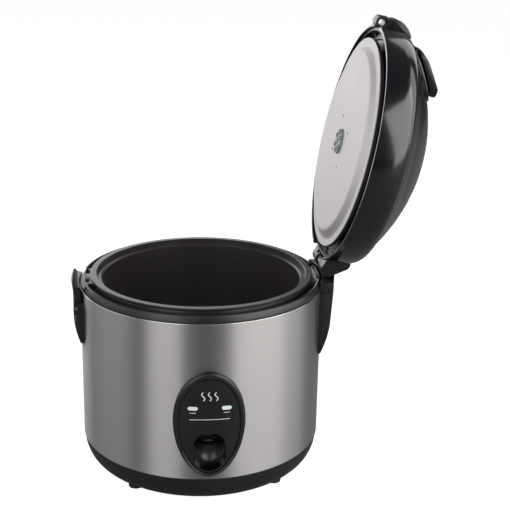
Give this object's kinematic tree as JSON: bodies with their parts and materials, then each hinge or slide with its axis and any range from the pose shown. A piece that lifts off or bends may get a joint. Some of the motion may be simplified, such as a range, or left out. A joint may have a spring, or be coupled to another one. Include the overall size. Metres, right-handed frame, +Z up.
{
  "type": "rice cooker",
  "caption": "Rice cooker with a brushed steel body, a black hinged lid that opens sideways, a lift-out cooking pot and a lever switch on an oval panel.",
  "frame": {"origin": "on the table plane under the axis of the round body", "axes": "+Z up along the body's axis, -Y out of the control panel, +X towards the lid's hinge, -X towards the latch"},
  "size_m": [0.3162, 0.227, 0.4059],
  "materials": {
    "steel": "brushed",
    "black": "satin",
    "gloss_black": "polished",
    "aluminium": "satin",
    "cast_plate": "cast and turned",
    "pot": "satin outside, dark coating inside",
    "zinc": "zinc plated",
    "sheath": "heat tinted",
    "ferrite": "sintered",
    "rubber": "matte",
    "grey_rubber": "matte",
    "cream": "moulded",
    "ceramic": "glazed",
    "lens": "translucent",
    "amber": "clear",
    "red": "clear",
    "board": "lacquered",
    "wire": "extruded"
  },
  "bodies": {
    "base": {"outer_shell": "steel", "base_pan": "black", "bottom_plate": "zinc", "feet": "rubber", "base_screws": "zinc", "top_collar": "black", "chamber_liner": "aluminium", "heating_plate": "cast_plate", "heating_element": "sheath", "plate_posts": "zinc", "thermal_fuse": "ceramic", "sensor_guide": "zinc", "sensor_spring": "zinc", "switch_bracket": "zinc", "lever_pivot_pin": "zinc", "microswitch": "black", "control_bezel": "black", "control_fascia": "gloss_black", "warm_lens": "lens", "cook_lens": "lens", "warm_lamp": "amber", "cook_lamp": "red", "lamp_board": "board", "inlet_housing": "black", "inlet_pins": "zinc", "wiring": "wire", "hinge_bracket": "black", "hinge_cover": "black", "hinge_pin": "zinc", "hinge_spring": "zinc", "bracket_screws": "zinc", "latch_housing": "black", "latch_ears": "black", "latch_pin": "zinc"},
    "pot": {"inner_pot": "pot"},
    "plate": {"inner_plate": "aluminium", "plate_gasket": "rubber", "plate_hub": "grey_rubber"},
    "vent": {"vent_cap": "black"},
    "latch": {"latch_lever": "black", "latch_spring": "zinc"},
    "lid": {"lid_cover": "gloss_black", "lid_base": "black", "lid_screws": "zinc", "vent_platform": "gloss_black", "vent_tube": "rubber", "lid_lug": "black"},
    "lever": {"lever_arm": "cream", "cook_lever": "black"},
    "lifter": {"magnet": "ferrite", "magnet_rod": "zinc"},
    "sensor": {"sensor_cap": "aluminium", "sensor_ferrite": "ferrite"}
  },
  "joints": [
    {"name": "lid_hinge", "type": "hinge", "parent": "base", "child": "lid", "pos_m": [0.1108, 0, 0.186], "axis": [0, 1, 0], "range_deg": [-102.3, 0]},
    {"name": "pot_lift", "type": "slide", "parent": "base", "child": "pot", "axis": [0, 0, 1], "range_m": [0, 0.073]},
    {"name": "plate_pull", "type": "slide", "parent": "lid", "child": "plate", "axis": [-0.977, 0, 0.213], "range_m": [0, 0.01]},
    {"name": "vent_cap_lift", "type": "slide", "parent": "lid", "child": "vent", "axis": [0.977, 0, -0.213], "range_m": [0, 0.015]},
    {"name": "latch_tilt", "type": "hinge", "parent": "base", "child": "latch", "pos_m": [-0.111, 0, 0.155], "axis": [0, 1, 0], "range_deg": [-6, 0], "stiffness_Nm_per_rad": 0.5, "springref_deg": 5.73},
    {"name": "cook_lever", "type": "hinge", "parent": "base", "child": "lever", "pos_m": [0, -0.062, 0.058], "axis": [1, 0, 0], "range_deg": [0, 8.5], "stiffness_Nm_per_rad": 0.3, "springref_deg": -17.19},
    {"name": "magnet_lift", "type": "slide", "parent": "base", "child": "lifter", "axis": [0, 0, 1], "range_m": [0, 0.0093]},
    {"name": "sensor_plunger", "type": "slide", "parent": "base", "child": "sensor", "axis": [0, 0, 1], "range_m": [-0.003, 0], "stiffness_N_per_m": 400, "springref_m": 0.003, "deforming": ["sensor_spring"]}
  ],
  "couplings": [
    {"joint": "magnet_lift", "follows": "cook_lever", "m_per_rad": 0.062}
  ]
}
